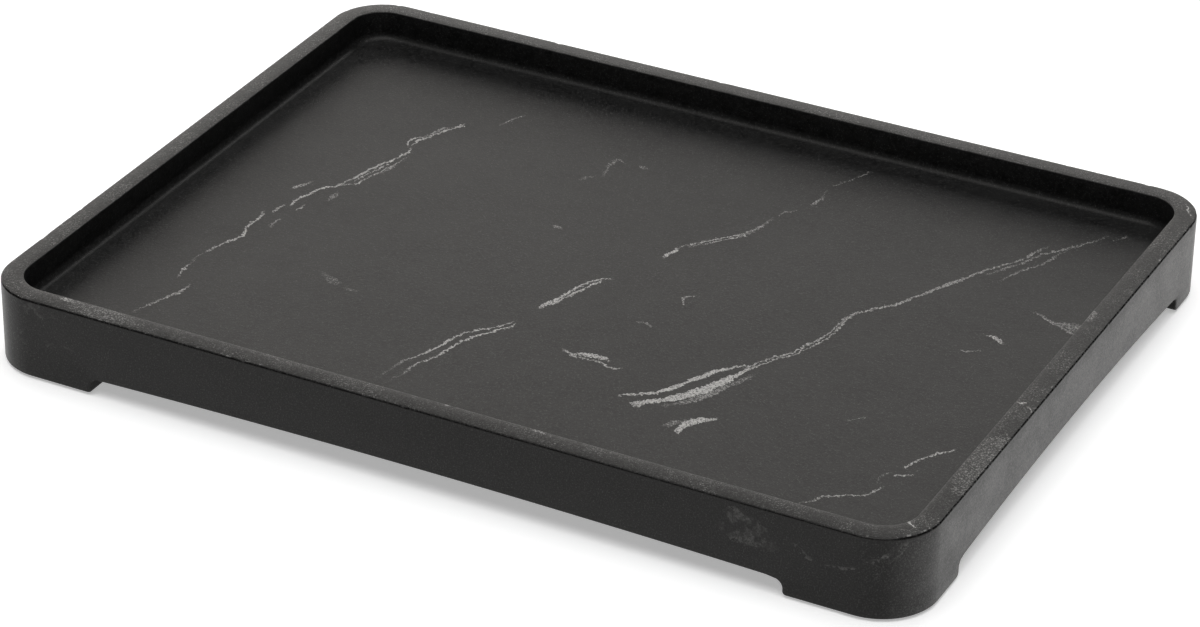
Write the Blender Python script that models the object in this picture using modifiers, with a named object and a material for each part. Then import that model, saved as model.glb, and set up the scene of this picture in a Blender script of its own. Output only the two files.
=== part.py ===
"""Marble serving tray: one carved stone body on four thin foot pads.

Units are metres and +Z is up. The origin lies under the middle of the tray, on the surface that
the pads stand on. +X is the long side and -Y is the front.
"""
import math

import bmesh
import bpy
from mathutils import Matrix, Vector

# Stone body, outer form
TRAY_LENGTH = 0.400
TRAY_WIDTH = 0.300
STONE_HEIGHT = 0.0347
CORNER_RADIUS = 0.0235

# Pocket that holds what is served
RIM_WIDTH = 0.0092
POCKET_DEPTH = 0.0130
POCKET_FILLET = 0.0032

# Underside: two shallow arched channels cross and leave four corner feet
FOOT_LENGTH = 0.0515
FOOT_DEPTH = 0.0395
CHANNEL_HEIGHT = 0.0065
LONG_SIDE_ARCH_RISE = 0.0021
SHORT_SIDE_ARCH_RISE = 0.0035
SHORT_SIDE_CHANNEL_SHIFT = 0.0030
FRONT_RIGHT_FILLET = 0.0048
OTHER_FOOT_FILLET = 0.0020

# Edges rubbed soft
RIM_EDGE_SOFTENING = 0.0008
FOOT_EDGE_SOFTENING = 0.0016

# Foot pads
PAD_RADIUS = 0.0100
PAD_THICKNESS = 0.0008
PAD_EDGE_SOFTENING = 0.0002
ADHESIVE_GAP = 0.0003

# Cutters run past the stone by this much, so that no faces coincide
CUT_OVERRUN = 0.0200

# A fillet above a softened edge leaves this share of the softening straight between them
STRAIGHT_SHARE = 0.06

# How finely curves are divided
CORNER_STEPS = 14
FILLET_STEPS = 6
POCKET_FILLET_STEPS = 4
ARCH_STEPS = 16
EDGE_STEPS = 2
PAD_STEPS = 40

# Meshes are merged within this distance
WELD_DISTANCE = 0.000002

# Faces within the flat angle are one face, and edges past the others are shaded or worn as edges
FLAT_ANGLE = math.radians(0.1)
SHARP_ANGLE = math.radians(35)
SOFTENED_ANGLE = math.radians(50)

STONE_BASE = PAD_THICKNESS + ADHESIVE_GAP
STONE_TOP = STONE_BASE + STONE_HEIGHT
SOFTEST_EDGE = max(RIM_EDGE_SOFTENING, FOOT_EDGE_SOFTENING)


def clear_scene():
    for obj in list(bpy.data.objects):
        bpy.data.objects.remove(obj, do_unlink=True)


def make_collection(name):
    collection = bpy.data.collections.new(name)
    bpy.context.scene.collection.children.link(collection)
    return collection


def make_material(name, colour, roughness):
    material = bpy.data.materials.new(name)
    material.use_nodes = True
    shader = material.node_tree.nodes["Principled BSDF"]
    shader.inputs["Base Color"].default_value = (*colour, 1.0)
    shader.inputs["Roughness"].default_value = roughness
    shader.inputs["Metallic"].default_value = 0.0
    return material


def arc(centre, radius, start, end, steps):
    """Points on an arc between two angles, both ends included."""
    points = []
    for step in range(steps + 1):
        angle = start + (end - start) * step / steps
        points.append((centre[0] + radius * math.cos(angle), centre[1] + radius * math.sin(angle)))
    return points


def rounded_rectangle(length, width, radius):
    """Outline of a rectangle with round corners, anticlockwise, centred on the origin."""
    middle_x = length / 2 - radius
    middle_y = width / 2 - radius
    quarter = math.pi / 2
    points = []
    for turn, (side_x, side_y) in enumerate(((1, 1), (-1, 1), (-1, -1), (1, -1))):
        centre = (side_x * middle_x, side_y * middle_y)
        points += arc(centre, radius, turn * quarter, (turn + 1) * quarter, CORNER_STEPS)
    return points


def channel_outline(low, high, low_fillet, high_fillet, rise):
    """Section of a channel seen end on: (across, height above the foot's underside).

    It runs from low to high across, with filleted top corners and an arched top that rises
    by rise in the middle.
    """
    room = CHANNEL_HEIGHT - (1 + STRAIGHT_SHARE) * FOOT_EDGE_SOFTENING
    low_fillet = min(low_fillet, room)
    high_fillet = min(high_fillet, room)
    half_span = (high - low) / 2
    middle = (high + low) / 2
    arch_radius = (half_span ** 2 + rise ** 2) / (2 * rise)
    arch_centre = (middle, CHANNEL_HEIGHT + rise - arch_radius)

    def fillet_centre(edge, fillet, side):
        across = edge - side * fillet
        reach = math.sqrt((arch_radius - fillet) ** 2 - (across - middle) ** 2)
        return across, arch_centre[1] + reach

    def lean(centre):
        return math.atan2(centre[1] - arch_centre[1], centre[0] - arch_centre[0])

    high_centre = fillet_centre(high, high_fillet, 1)
    low_centre = fillet_centre(low, low_fillet, -1)
    points = [(low, -CUT_OVERRUN), (high, -CUT_OVERRUN)]
    points += arc(high_centre, high_fillet, 0, lean(high_centre), FILLET_STEPS)
    points += arc(arch_centre, arch_radius, lean(high_centre), lean(low_centre), ARCH_STEPS)[1:-1]
    points += arc(low_centre, low_fillet, lean(low_centre), math.pi, FILLET_STEPS)
    return points


def extruded(name, outline, thickness, placing, collection):
    """A flat outline made a closed solid of the given thickness about its own plane."""
    curve = bpy.data.curves.new(name + "_outline", "CURVE")
    curve.dimensions = "2D"
    curve.fill_mode = "BOTH"
    curve.extrude = thickness / 2
    spline = curve.splines.new("POLY")
    spline.points.add(len(outline) - 1)
    for point, (across, along) in zip(spline.points, outline):
        point.co = (across, along, 0.0, 1.0)
    spline.use_cyclic_u = True
    flat = bpy.data.objects.new(name + "_outline", curve)
    bpy.context.scene.collection.objects.link(flat)
    flat.matrix_world = placing
    bpy.context.view_layer.update()
    evaluated = flat.evaluated_get(bpy.context.evaluated_depsgraph_get())
    mesh = bpy.data.meshes.new_from_object(evaluated)
    mesh.name = name
    solid = bpy.data.objects.new(name, mesh)
    solid.matrix_world = flat.matrix_world
    collection.objects.link(solid)
    bpy.data.objects.remove(flat, do_unlink=True)
    work = bmesh.new()
    work.from_mesh(mesh)
    bmesh.ops.remove_doubles(work, verts=work.verts, dist=WELD_DISTANCE)
    bmesh.ops.recalc_face_normals(work, faces=work.faces)
    work.to_mesh(mesh)
    work.free()
    return solid


def as_cutter(obj):
    obj.hide_render = True
    obj.display_type = "WIRE"
    return obj


def pocket_cutter(cutters):
    """The pocket: concentric with the outer outline, with a round foot to its walls."""
    outline = rounded_rectangle(
        TRAY_LENGTH - 2 * RIM_WIDTH, TRAY_WIDTH - 2 * RIM_WIDTH, CORNER_RADIUS - RIM_WIDTH
    )
    floor = STONE_TOP - POCKET_DEPTH
    thickness = POCKET_DEPTH + CUT_OVERRUN
    placing = Matrix.Translation((0, 0, floor + thickness / 2))
    cutter = as_cutter(extruded("pocket_cutter", outline, thickness, placing, cutters))
    fillet = cutter.modifiers.new("wall_fillet", "BEVEL")
    fillet.limit_method = "ANGLE"
    fillet.angle_limit = SHARP_ANGLE
    fillet.width = POCKET_FILLET
    fillet.segments = POCKET_FILLET_STEPS
    return cutter


def long_side_channel_cutter(cutters):
    """The channel that opens through the front and back sides, between left and right feet."""
    edge = TRAY_LENGTH / 2 - FOOT_LENGTH
    outline = channel_outline(
        -edge, edge, OTHER_FOOT_FILLET, FRONT_RIGHT_FILLET, LONG_SIDE_ARCH_RISE
    )
    placing = Matrix.Translation((0, 0, STONE_BASE)) @ Matrix.Rotation(math.pi / 2, 4, "X")
    thickness = TRAY_WIDTH + 2 * CUT_OVERRUN
    return as_cutter(extruded("long_side_channel_cutter", outline, thickness, placing, cutters))


def short_side_channel_cutter(cutters):
    """The channel that opens through the left and right sides, between front and back feet."""
    edge = TRAY_WIDTH / 2 - FOOT_DEPTH
    outline = channel_outline(
        SHORT_SIDE_CHANNEL_SHIFT - edge,
        SHORT_SIDE_CHANNEL_SHIFT + edge,
        FRONT_RIGHT_FILLET,
        OTHER_FOOT_FILLET,
        SHORT_SIDE_ARCH_RISE,
    )
    stand_up = Matrix.Rotation(math.pi / 2, 4, "Z") @ Matrix.Rotation(math.pi / 2, 4, "X")
    placing = Matrix.Translation((0, 0, STONE_BASE)) @ stand_up
    thickness = TRAY_LENGTH + 2 * CUT_OVERRUN
    return as_cutter(extruded("short_side_channel_cutter", outline, thickness, placing, cutters))


def carve(body, cutters):
    """Takes the cutters out of the body and keeps the result as the body's own mesh."""
    for cutter in cutters:
        cut = body.modifiers.new(cutter.name, "BOOLEAN")
        cut.operation = "DIFFERENCE"
        cut.solver = "EXACT"
        cut.object = cutter
    bpy.context.view_layer.update()
    evaluated = body.evaluated_get(bpy.context.evaluated_depsgraph_get())
    body.modifiers.clear()
    body.data = bpy.data.meshes.new_from_object(evaluated)


def inside_outer_walls(point):
    """Tells if a point lies further in than the tray's four outer walls."""
    within_length = abs(point.x) < TRAY_LENGTH / 2 - WELD_DISTANCE
    within_width = abs(point.y) < TRAY_WIDTH / 2 - WELD_DISTANCE
    return within_length and within_width


def weigh_soft_edges(mesh, placing):
    """Marks each sharp edge with how soft it is worn, as a share of the softest.

    The short upright corners under the tray, where two channels meet at a foot, stay crisp.
    """
    rim_share = RIM_EDGE_SOFTENING / SOFTEST_EDGE
    foot_share = FOOT_EDGE_SOFTENING / SOFTEST_EDGE
    work = bmesh.new()
    work.from_mesh(mesh)
    bmesh.ops.remove_doubles(work, verts=work.verts, dist=WELD_DISTANCE)
    bmesh.ops.dissolve_limit(
        work, angle_limit=FLAT_ANGLE, verts=work.verts, edges=work.edges
    )
    weight = work.edges.layers.float.get("bevel_weight_edge")
    if weight is None:
        weight = work.edges.layers.float.new("bevel_weight_edge")
    foot_line = STONE_BASE + WELD_DISTANCE
    for edge in work.edges:
        ends = [placing @ vert.co for vert in edge.verts]
        heights = [end.z for end in ends]
        rising = max(heights) - min(heights) > WELD_DISTANCE
        hidden = all(inside_outer_walls(end) for end in ends)
        if (rising and hidden) or edge.calc_face_angle(0) < SOFTENED_ANGLE:
            continue
        edge[weight] = foot_share if max(heights) < foot_line else rim_share
    work.to_mesh(mesh)
    work.free()


def build_stone_body(collection, cutters, material):
    outline = rounded_rectangle(TRAY_LENGTH, TRAY_WIDTH, CORNER_RADIUS)
    placing = Matrix.Translation((0, 0, STONE_BASE + STONE_HEIGHT / 2))
    body = extruded("tray_body", outline, STONE_HEIGHT, placing, collection)
    carve(
        body,
        (
            pocket_cutter(cutters),
            long_side_channel_cutter(cutters),
            short_side_channel_cutter(cutters),
        ),
    )
    weigh_soft_edges(body.data, body.matrix_world)
    soften = body.modifiers.new("soft_edges", "BEVEL")
    soften.limit_method = "WEIGHT"
    soften.width = SOFTEST_EDGE
    soften.segments = EDGE_STEPS
    soften.use_clamp_overlap = False
    body.data.materials.append(material)
    body.data.shade_smooth()
    body.data.set_sharp_from_angle(angle=SHARP_ANGLE)
    return body


def build_foot_pad(name, side_x, side_y, collection, material):
    """A thin round pad under the middle of one stone foot."""
    depth = FOOT_DEPTH - side_y * SHORT_SIDE_CHANNEL_SHIFT
    place = Vector(
        (
            side_x * (TRAY_LENGTH / 2 - FOOT_LENGTH / 2),
            side_y * (TRAY_WIDTH / 2 - depth / 2),
            PAD_THICKNESS / 2,
        )
    )
    bpy.ops.mesh.primitive_cylinder_add(
        vertices=PAD_STEPS, radius=PAD_RADIUS, depth=PAD_THICKNESS, location=place
    )
    pad = bpy.context.object
    pad.name = name
    pad.data.name = name
    for other in list(pad.users_collection):
        other.objects.unlink(pad)
    collection.objects.link(pad)
    soften = pad.modifiers.new("soft_edges", "BEVEL")
    soften.limit_method = "ANGLE"
    soften.angle_limit = SHARP_ANGLE
    soften.width = PAD_EDGE_SOFTENING
    soften.segments = EDGE_STEPS
    pad.data.materials.append(material)
    pad.data.shade_smooth()
    pad.data.set_sharp_from_angle(angle=SHARP_ANGLE)
    return pad


def main():
    clear_scene()
    parts = make_collection("marble_tray")
    cutters = make_collection("cutters")
    stone = make_material("honed_black_marble", (0.030, 0.030, 0.029), 0.45)
    rubber = make_material("pad_rubber", (0.020, 0.020, 0.020), 0.80)
    build_stone_body(parts, cutters, stone)
    for side_y, depth_name in ((-1, "front"), (1, "back")):
        for side_x, side_name in ((-1, "left"), (1, "right")):
            name = "foot_pad_" + depth_name + "_" + side_name
            build_foot_pad(name, side_x, side_y, parts, rubber)


main()
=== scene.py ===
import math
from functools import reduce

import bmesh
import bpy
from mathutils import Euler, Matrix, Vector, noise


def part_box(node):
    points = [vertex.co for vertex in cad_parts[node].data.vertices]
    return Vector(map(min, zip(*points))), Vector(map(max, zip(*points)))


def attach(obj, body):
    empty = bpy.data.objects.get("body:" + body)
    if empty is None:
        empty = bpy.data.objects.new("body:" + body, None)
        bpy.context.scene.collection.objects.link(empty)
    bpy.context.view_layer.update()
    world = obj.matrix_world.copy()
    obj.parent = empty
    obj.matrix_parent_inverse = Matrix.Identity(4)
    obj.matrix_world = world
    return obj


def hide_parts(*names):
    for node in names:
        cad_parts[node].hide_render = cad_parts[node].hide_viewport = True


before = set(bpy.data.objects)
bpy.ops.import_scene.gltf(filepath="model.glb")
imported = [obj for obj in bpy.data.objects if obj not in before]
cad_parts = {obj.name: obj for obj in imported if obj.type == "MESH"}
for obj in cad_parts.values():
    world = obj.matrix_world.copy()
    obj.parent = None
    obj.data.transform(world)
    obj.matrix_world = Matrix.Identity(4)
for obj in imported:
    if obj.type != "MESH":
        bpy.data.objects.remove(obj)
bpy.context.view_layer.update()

# %% [markdown]
# # A marble serving tray
# The real object is a slab of honed black marble. A shallow pocket is milled into its top, two low
# channels are ground across its underside, and four thin rubber pads keep it off the table. The
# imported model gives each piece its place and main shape. This script gives the stone its fine
# edges, its wear and its veins.

MM = 0.001
for node_name in sorted(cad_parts):
    low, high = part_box(node_name)
    print(node_name, [round(value / MM, 2) for value in (*low, *high)])

# %% [markdown]
# ## The camera
# The tray is seen from its front right corner, from about a third of a right angle above the
# table. A long lens keeps its sides nearly parallel. Blender's camera looks along its own -Z, so a
# place, three angles and a focal length set the whole view, and a small sideways shift puts the
# tray where it lies in the picture without turning the camera.

# %% Place the camera
def placed(name, data):
    """Makes an object of this data and puts it into the scene."""
    made = bpy.data.objects.new(name, data)
    bpy.context.scene.collection.objects.link(made)
    return made


camera_data = bpy.data.cameras.new("camera")
camera_data.sensor_fit = "HORIZONTAL"
camera_data.sensor_width = 36.0
camera_data.lens = 129.734
camera_data.shift_x = 0.03282
camera_data.shift_y = -0.00029
camera_data.clip_start = 0.05
camera_data.clip_end = 60.0
camera = placed("camera", camera_data)
camera.location = (0.68255, -1.34843, 0.86586)
camera.rotation_euler = Euler([math.radians(angle) for angle in (60.26357, -0.46578, 27.81936)])
bpy.context.scene.camera = camera
print("camera is", round(camera.location.length, 3), "m from the tray's middle")

# %% [markdown]
# ## Node graphs written as sums
# A finish is a graph of small nodes. It could be drawn by hand in the editor or written as a list
# of links, but both are slow to read and to change. The class below wraps one socket, so that a
# sum or product of sockets in Python adds the Math nodes for it. All other nodes come from one
# method that takes the node's type, its settings and its sockets.

# %% A socket that can be used in sums
class Wire:
    """One output socket. Sums and products of wires add the Math nodes that work them out."""

    def __init__(self, finish, socket):
        self.finish = finish
        self.socket = socket

    def maths(self, operation, *values, clamp=False):
        """Adds one Math node."""
        settings = {"operation": operation, "use_clamp": clamp}
        return self.finish.make("ShaderNodeMath", settings, dict(enumerate(values)))

    def __add__(self, other):
        return self.maths("ADD", self, other)

    __radd__ = __add__

    def __sub__(self, other):
        return self.maths("SUBTRACT", self, other)

    def __rsub__(self, other):
        return self.maths("SUBTRACT", other, self)

    def __mul__(self, other):
        return self.maths("MULTIPLY", self, other)

    __rmul__ = __mul__

    def __truediv__(self, other):
        return self.maths("DIVIDE", self, other)

    def __abs__(self):
        return self.maths("ABSOLUTE", self)

    def larger(self, other):
        return self.maths("MAXIMUM", self, other)

    def smaller(self, other):
        return self.maths("MINIMUM", self, other)

    def root(self):
        return self.maths("SQRT", self)

    def held(self):
        """Kept between 0 and 1."""
        return self.maths("ADD", self, 0.0, clamp=True)

    def ramp(self, start, end, low=0.0, high=1.0):
        """low at start, high at end, smooth between them and level beyond."""
        sockets = {
            "Value": self, "From Min": start, "From Max": end, "To Min": low, "To Max": high,
        }
        settings = {"interpolation_type": "SMOOTHSTEP"}
        return self.finish.make("ShaderNodeMapRange", settings, sockets)


print("a sum of wires adds its Math nodes")


# %% A material that makes its own nodes
class Finish:
    """A material with its Principled shader, and the place of each point in millimetres."""

    def __init__(self, name):
        self.material = bpy.data.materials.new(name)
        self.material.use_nodes = True
        self.tree = self.material.node_tree
        self.shader = self.tree.nodes["Principled BSDF"]
        place = self.make("ShaderNodeTexCoord", {}, {}, "Object")
        scaled = {0: place, "Scale": 1 / MM}
        self.place = self.make("ShaderNodeVectorMath", {"operation": "SCALE"}, scaled)
        self.x, self.y, self.z = self.split(self.place, "ShaderNodeSeparateXYZ")

    def make(self, kind, settings, sockets, output=0):
        """Adds a node, sets it up, fills its sockets and gives back one of its outputs."""
        node = self.tree.nodes.new(kind)
        for name, value in settings.items():
            if name == "curves":
                self.draw(node.mapping, value)
            else:
                setattr(node, name, value)
        self.fill(node, sockets)
        return Wire(self, node.outputs[output])

    def fill(self, node, sockets):
        """Links each socket to its wire, or gives it its plain value."""
        for name, value in sockets.items():
            if isinstance(value, Wire):
                self.tree.links.new(value.socket, node.inputs[name])
            else:
                node.inputs[name].default_value = value

    def draw(self, mapping, curves):
        """Gives each curve of a mapping its points, with straight runs between them."""
        mapping.extend = "HORIZONTAL"
        for curve, points in zip(mapping.curves, curves):
            curve.points[0].location = points[0]
            curve.points[1].location = points[-1]
            for point in points[1:-1]:
                curve.points.new(*point)
            for point in curve.points:
                point.handle_type = "VECTOR"
        mapping.update()

    def split(self, value, kind="ShaderNodeSeparateColor"):
        """The three parts of a colour or a vector."""
        node = self.make(kind, {}, {0: value}).socket.node
        return [Wire(self, socket) for socket in node.outputs]

    def noise(self, size, detail=2.0, roughness=0.5, place=None):
        """Cloudy noise whose blotches are about size across, in millimetres."""
        sockets = {"Scale": 1 / size, "Detail": detail, "Roughness": roughness}
        return self.make("ShaderNodeTexNoise", {}, {"Vector": place or self.place, **sockets})

    def three_noises(self, size, roughness=0.5):
        """Three such noises that don't follow each other, from one node."""
        node = self.noise(size, roughness=roughness).socket.node
        return self.split(Wire(self, node.outputs["Color"]))

    def mix(self, share, low, high):
        """The colour low where share is 0, and high where it is 1."""
        colours = {0: share, 6: low, 7: high}
        return self.make("ShaderNodeMix", {"data_type": "RGBA"}, colours, 2)

    def set(self, name, value):
        """Links or sets one socket of the shader."""
        self.fill(self.shader, {name: value})

    def bump(self, height, depth, strength=1.0):
        """Raises the surface by up to depth where height is 1."""
        sockets = {"Strength": strength, "Distance": depth, "Height": height}
        self.set("Normal", self.make("ShaderNodeBump", {}, sockets))


print("a finish makes its own nodes")

# %% [markdown]
# ## The block of stone
# The tray is cut from one slab. A cube with rounded edges would do for its outside, but the rim
# and the feet need rings that run round the corners. So it starts as one flat face: a grid of a
# single face, stretched to size, has its four corner points bevelled, which rounds them in plan.
# The face is then pulled up into a block. The block starts at the ceiling of the channels under
# the tray and ends just below the rim, because the rim gets finer edges later.

# %% Sizes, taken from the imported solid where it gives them
stone_low, stone_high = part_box("tray_body")
LENGTH = stone_high.x - stone_low.x
WIDTH = stone_high.y - stone_low.y
BASE = stone_low.z
TOP = stone_high.z
CORNER_RADIUS = 23.5 * MM
CHANNEL_HEIGHT = 6.5 * MM
CHANNEL_CEILING = BASE + CHANNEL_HEIGHT
BELOW_RIM = 33.0 * MM
CORNER_SEGMENTS = 24
NEAR = 0.01 * MM  # what lies closer than this counts as one place


def points_of(geometry):
    return [item for item in geometry if isinstance(item, bmesh.types.BMVert)]


stone = bmesh.new()
corners = bmesh.ops.create_grid(stone, x_segments=1, y_segments=1, size=0.5)["verts"]
bmesh.ops.scale(stone, vec=(LENGTH, WIDTH, 1), verts=corners)
bmesh.ops.translate(stone, vec=(0, 0, CHANNEL_CEILING), verts=corners)
bmesh.ops.bevel(
    stone, geom=corners, offset=CORNER_RADIUS, affect="VERTICES",
    segments=CORNER_SEGMENTS, profile=0.5, material=-1,
)
pulled = bmesh.ops.extrude_face_region(stone, geom=stone.faces[:], use_keep_orig=True)["geom"]
bmesh.ops.translate(stone, vec=(0, 0, BELOW_RIM - CHANNEL_CEILING), verts=points_of(pulled))
bmesh.ops.recalc_face_normals(stone, faces=stone.faces)
print("block:", len(stone.verts), "points,", round(stone.calc_volume() * 1e6), "cubic centimetres")

# %% [markdown]
# ## Four feet
# On the real tray two wide grooves are ground across the underside and cross in the middle, and
# what they leave are the feet. The same shape is quicker to make the other way round: four planes
# divide the underside into nine fields, and the four corner fields are pulled down.

# %% Divide the underside and pull the feet down
FOOT_X = 148.5 * MM
FRONT_FOOT_Y = -107.5 * MM
BACK_FOOT_Y = 113.5 * MM


def way_in(point):
    """How far a point lies inside the outline, and the outward direction there."""
    over_x = abs(point.x) - (LENGTH / 2 - CORNER_RADIUS)
    over_y = abs(point.y) - (WIDTH / 2 - CORNER_RADIUS)
    side = Vector((math.copysign(1, point.x), math.copysign(1, point.y), 0))
    if over_x > 0 and over_y > 0:
        out = Vector((over_x, over_y, 0))
        return CORNER_RADIUS - out.length, Vector((out.x * side.x, out.y * side.y, 0)).normalized()
    if over_x > over_y:
        return CORNER_RADIUS - over_x, Vector((side.x, 0, 0))
    return CORNER_RADIUS - over_y, Vector((0, side.y, 0))


def ceiling_faces():
    """The faces of the channels' ceiling while it is still flat."""
    found = []
    for face in stone.faces:
        level = all(abs(vert.co.z - CHANNEL_CEILING) < NEAR for vert in face.verts)
        if level and face.normal.z < -0.5:
            found.append(face)
    return found


def cut_ceiling(place, direction):
    faces = ceiling_faces()
    geometry = set(faces)
    for face in faces:
        geometry.update(face.edges)
        geometry.update(face.verts)
    bmesh.ops.bisect_plane(
        stone, geom=list(geometry), dist=NEAR / 10, plane_co=place, plane_no=direction
    )


def over_a_foot(face):
    middle = face.calc_center_median()
    return abs(middle.x) > FOOT_X and not FRONT_FOOT_Y < middle.y < BACK_FOOT_Y


for foot_line in (-FOOT_X, FOOT_X):
    cut_ceiling((foot_line, 0, 0), (1, 0, 0))
for foot_line in (FRONT_FOOT_Y, BACK_FOOT_Y):
    cut_ceiling((0, foot_line, 0), (0, 1, 0))
foot_faces = [face for face in ceiling_faces() if over_a_foot(face)]
pulled = bmesh.ops.extrude_face_region(stone, geom=foot_faces)["geom"]
bmesh.ops.delete(stone, geom=foot_faces, context="FACES_ONLY")
bmesh.ops.translate(stone, vec=(0, 0, -CHANNEL_HEIGHT), verts=points_of(pulled))
print("feet:", len(foot_faces), "pulled down by", round(CHANNEL_HEIGHT / MM, 2), "mm")

# %% [markdown]
# ## Arched channels
# The grooves were ground by hand, so their ceilings rise a little towards the middle. Bending the
# whole block would bend its feet too. So the ceiling alone gets crosswise cuts, and every point on
# it is lifted by the arch that passes over it.

# %% Lift the ceiling
LONG_ARCH = 2.1 * MM
SHORT_ARCH = 3.5 * MM
ARCH_CUTS = 24


def arch(value, low, high, rise):
    share = (2 * value - high - low) / (high - low)
    return rise * max(0.0, 1 - share * share)


for step in range(1, ARCH_CUTS):
    share = step / ARCH_CUTS
    cut_ceiling((FOOT_X * (2 * share - 1), 0, 0), (1, 0, 0))
    cut_ceiling((0, FRONT_FOOT_Y + (BACK_FOOT_Y - FRONT_FOOT_Y) * share, 0), (0, 1, 0))
for vert in stone.verts:
    if abs(vert.co.z - CHANNEL_CEILING) < NEAR:
        over_long = arch(vert.co.x, -FOOT_X, FOOT_X, LONG_ARCH)
        over_short = arch(vert.co.y, FRONT_FOOT_Y, BACK_FOOT_Y, SHORT_ARCH)
        vert.co.z += max(over_long, over_short)
print("the ceiling rises by up to", round(SHORT_ARCH / MM, 2), "mm")

# %% [markdown]
# ## Corners that the wheel left round
# A grinding wheel leaves a fillet where a foot meets the ceiling, and the foot's sole was rubbed
# round where it meets the groove. The bevel operator has one width for all its edges, but the
# Bevel modifier can give each edge its own radius, as a share of one width: each edge carries that
# share as its bevel weight. The modifier's result is read back into a bmesh, because the next
# steps build on it.

# %% Round the inner corners
FILLET = 2.0 * MM
SOLE_ROUNDING = 2.2 * MM
FRONT_RIGHT_LONG = (4.8 * MM, 1.4 * MM)
FRONT_RIGHT_SHORT = (2.8 * MM, 2.0 * MM)
FILLET_SEGMENTS = 6
SHARP = math.radians(50)
ARCH_STEP = 1.0 * MM  # an edge that climbs more than this is upright, not part of an arch
WEIGHTS = "bevel_weight_edge"


def mesh_of(name, shape):
    """Turns a bmesh into a mesh and frees it."""
    mesh = bpy.data.meshes.new(name)
    shape.to_mesh(mesh)
    shape.free()
    return mesh


def softened(shape, widths, segments):
    """Rounds the numbered edges of a bmesh by their own widths and gives back the new bmesh."""
    widest = max(widths.values())
    weight = shape.edges.layers.float.new(WEIGHTS)
    for edge in shape.edges:
        edge[weight] = widths.get(edge.index, 0.0) / widest
    mesh = mesh_of("block", shape)
    block = placed("block", mesh)
    rounding = block.modifiers.new("rounding", "BEVEL")
    rounding.limit_method = "WEIGHT"
    rounding.width = widest
    rounding.segments = segments
    rounding.use_clamp_overlap = False
    bpy.context.view_layer.update()
    rounded = block.evaluated_get(bpy.context.evaluated_depsgraph_get())
    rounded_mesh = bpy.data.meshes.new_from_object(rounded)
    result = bmesh.new()
    result.from_mesh(rounded_mesh)
    result.edges.layers.float.remove(result.edges.layers.float[WEIGHTS])
    bpy.data.objects.remove(block)
    for leftover in (mesh, rounded_mesh):
        bpy.data.meshes.remove(leftover)
    result.normal_update()
    return result


def lies_on(edge, axis, places):
    return all(min(abs(vert.co[axis] - place) for place in places) < NEAR for vert in edge.verts)


stone.normal_update()
stone.edges.index_update()
inner_widths = {}
for edge in stone.edges:
    on_long = lies_on(edge, 0, (-FOOT_X, FOOT_X))
    on_short = lies_on(edge, 1, (FRONT_FOOT_Y, BACK_FOOT_Y))
    heights = [vert.co.z for vert in edge.verts]
    upright = max(heights) - min(heights) > ARCH_STEP
    if upright or not (on_long or on_short) or edge.calc_face_angle(0) < SHARP:
        continue
    middle = (edge.verts[0].co + edge.verts[1].co) / 2
    radii = (FILLET, SOLE_ROUNDING)
    if middle.x > 0 and middle.y < 0:
        radii = FRONT_RIGHT_LONG if on_long else FRONT_RIGHT_SHORT
    inner_widths[edge.index] = radii[0] if min(heights) > CHANNEL_CEILING - NEAR else radii[1]
print(len(inner_widths), "inner edges to round")
stone = softened(stone, inner_widths, FILLET_SEGMENTS)

# %% [markdown]
# ## Edges worn soft
# Nothing on a ground stone is quite sharp. Every outer edge below the rim is rounded a little
# with the same helper. The rim's own edges wait, because its profile draws them.

# %% Round the outer edges
OUTER_ROUND = 0.7 * MM
OUTER_SEGMENTS = 3

stone.edges.index_update()
outer_widths = {}
for edge in stone.edges:
    heights = [vert.co.z for vert in edge.verts]
    outside = all(way_in(vert.co)[0] < 5 * NEAR for vert in edge.verts)
    if outside and min(heights) < BELOW_RIM - NEAR and edge.calc_face_angle(0) > SHARP:
        outer_widths[edge.index] = OUTER_ROUND
stone = softened(stone, outer_widths, OUTER_SEGMENTS)
print("lower block:", len(stone.faces), "faces, closed:", all(e.is_manifold for e in stone.edges))

# %% [markdown]
# ## Rim and pocket
# Everything above the block is one profile carried round the outline: a small worn facet, a rim
# that is very slightly crowned from hand polishing, a soft inner edge, the pocket's wall, a round
# fillet at its foot, and the floor. Cutting the pocket with a Boolean would leave edges that are
# hard to round. Insetting the top face again and again by the steps of that profile keeps every
# ring parallel to the last. The long sides are first divided into steps of about a millimetre, so
# that the edges can carry small chips.

# %% The profile, as distance in from the outside and height
RIM_WIDTH = 9.2 * MM
POCKET_DEPTH = 13.0 * MM
POCKET_FILLET = 3.2 * MM
OUTER_FACET = ((0.0, 0.0), (0.05, 0.12), (0.24, 0.34), (0.45, 0.55), (0.60, 0.60))
OUTER_ROUNDING = OUTER_FACET[-1][0] * MM
INNER_ROUNDING = 0.45 * MM
RIM_DROP = 0.29 * MM
RIM_CREST = 6.0 * MM
HOLDING_RING = 0.3 * MM
FLOOR = TOP - POCKET_DEPTH
SIDE_STEP = 0.9 * MM
RIM_STEPS = 12
EDGE_STEPS = 4
FILLET_STEPS = 8


def rim_height(across):
    """The rim is lowest at its outer edge and highest at its crest, nearer to the pocket."""
    return TOP - RIM_DROP * ((RIM_CREST - across) / (RIM_CREST - OUTER_ROUNDING)) ** 2


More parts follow.
